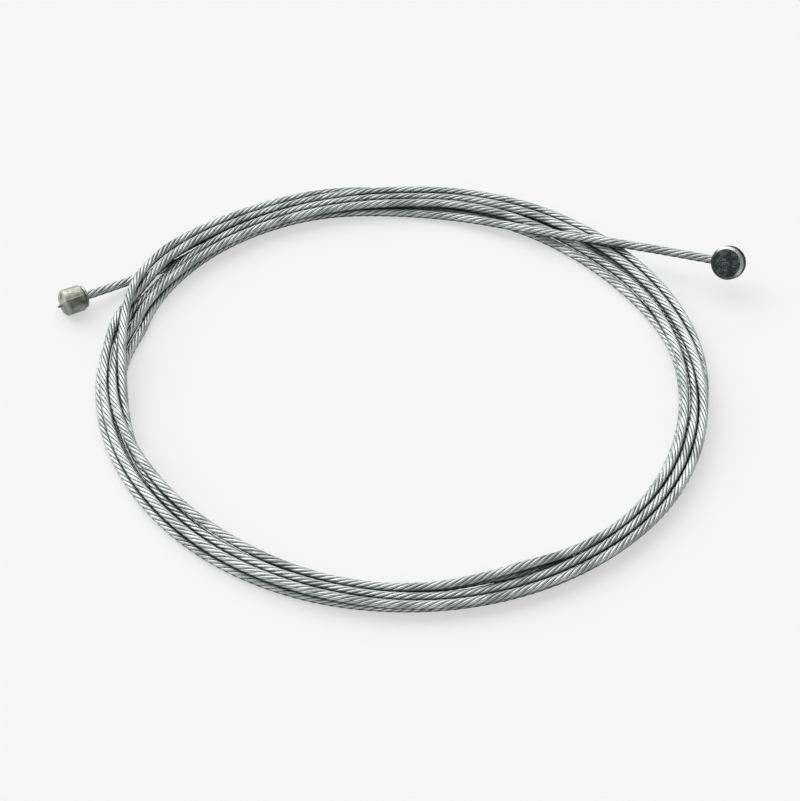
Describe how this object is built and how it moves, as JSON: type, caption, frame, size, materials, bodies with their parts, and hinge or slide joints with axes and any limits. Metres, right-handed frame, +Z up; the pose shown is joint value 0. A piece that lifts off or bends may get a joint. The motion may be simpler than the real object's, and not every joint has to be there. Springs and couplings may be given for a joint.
{
  "type": "shift cable",
  "caption": "Bicycle inner cable lying in a loose coil: stranded steel wire with a short barrel head on one end and a small cylinder head on the other, to pull a derailleur or brake.",
  "frame": {"origin": "on the floor, under the centre of the box round the whole coil and both heads", "axes": "+X from the cylinder head's side to the barrel head's side, +Z up, the coil lying flat in XY"},
  "size_m": [0.1162, 0.0998, 0.0082],
  "materials": {
    "strand": "bright galvanised stranded wire",
    "barrel_zinc": "dull cast zinc, mottled face",
    "cylinder_zinc": "dull cast zinc"
  },
  "bodies": {
    "root": {"cable": "strand", "barrel_head": "barrel_zinc", "cylinder_head": "cylinder_zinc"}
  },
  "joints": []
}
